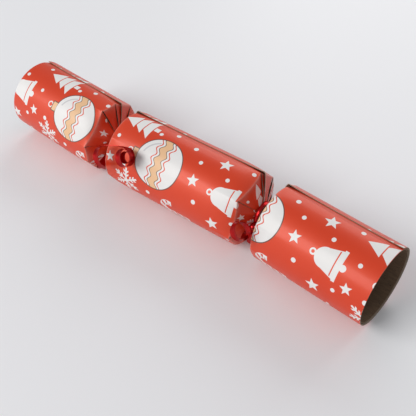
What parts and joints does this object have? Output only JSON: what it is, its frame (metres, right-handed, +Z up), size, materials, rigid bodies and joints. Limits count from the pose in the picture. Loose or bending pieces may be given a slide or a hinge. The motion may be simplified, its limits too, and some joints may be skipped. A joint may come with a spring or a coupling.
{
  "type": "christmas cracker",
  "caption": "Party cracker of rolled printed board: a barrel between two open ends, choked and tied with curling ribbon, with a snap, paper hat, motto and toy inside.",
  "frame": {"origin": "on the table under the middle of the barrel, at the centre of the whole cracker's footprint", "axes": "+X along the barrel towards the right end, +Y to the back, +Z up"},
  "size_m": [0.2834, 0.0646, 0.0501],
  "materials": {
    "printed_board": "satin",
    "kraft": "matte",
    "snap_card": "matte",
    "friction_patch": "matte",
    "sleeve_paper": "matte",
    "ribbon_foil": "polished",
    "tissue": "matte",
    "motto_paper": "matte",
    "elastic": "matte",
    "top_plastic": "gloss",
    "top_wood": "satin"
  },
  "bodies": {
    "barrel": {"barrel_wrap": "printed_board", "barrel_liner": "kraft", "left_ribbon_tie": "ribbon_foil", "left_ribbon_curl": "ribbon_foil", "left_ribbon_tail": "ribbon_foil", "right_ribbon_tie": "ribbon_foil", "right_ribbon_curl": "ribbon_foil", "right_ribbon_tail": "ribbon_foil"},
    "left_snap": {"left_snap_strip": "snap_card", "left_snap_patch": "friction_patch", "snap_sleeve": "sleeve_paper"},
    "right_snap": {"right_snap_strip": "snap_card", "right_snap_patch": "friction_patch"},
    "left_end": {"left_end_wrap": "printed_board", "left_end_liner": "kraft"},
    "right_end": {"right_end_wrap": "printed_board", "right_end_liner": "kraft"},
    "hat_roll": {"paper_hat": "tissue", "motto_slip": "motto_paper", "hat_elastic": "elastic"},
    "spinning_top": {"top_body": "top_plastic", "top_spindle": "top_wood"}
  },
  "joints": [
    {"name": "left_pull", "type": "slide", "parent": "barrel", "child": "left_snap", "axis": [-1, 0, 0], "range_m": [0, 0.1]},
    {"name": "left_flex", "type": "hinge", "parent": "left_snap", "child": "left_end", "pos_m": [-0.05725, 0, 0.0245], "axis": [0, 0, 1], "range_deg": [-1.5, 14.5]},
    {"name": "right_pull", "type": "slide", "parent": "barrel", "child": "right_snap", "axis": [1, 0, 0], "range_m": [0, 0.1]},
    {"name": "right_flex", "type": "hinge", "parent": "right_snap", "child": "right_end", "pos_m": [0.05725, 0, 0.0245], "axis": [0, 0, 1], "range_deg": [-1.5, 14.5]},
    {"name": "hat_slide", "type": "slide", "parent": "barrel", "child": "hat_roll", "axis": [1, 0, 0], "range_m": [-0.012, 0.012]},
    {"name": "top_slide", "type": "slide", "parent": "barrel", "child": "spinning_top", "axis": [1, 0, 0], "range_m": [-0.035, 0.035]}
  ]
}
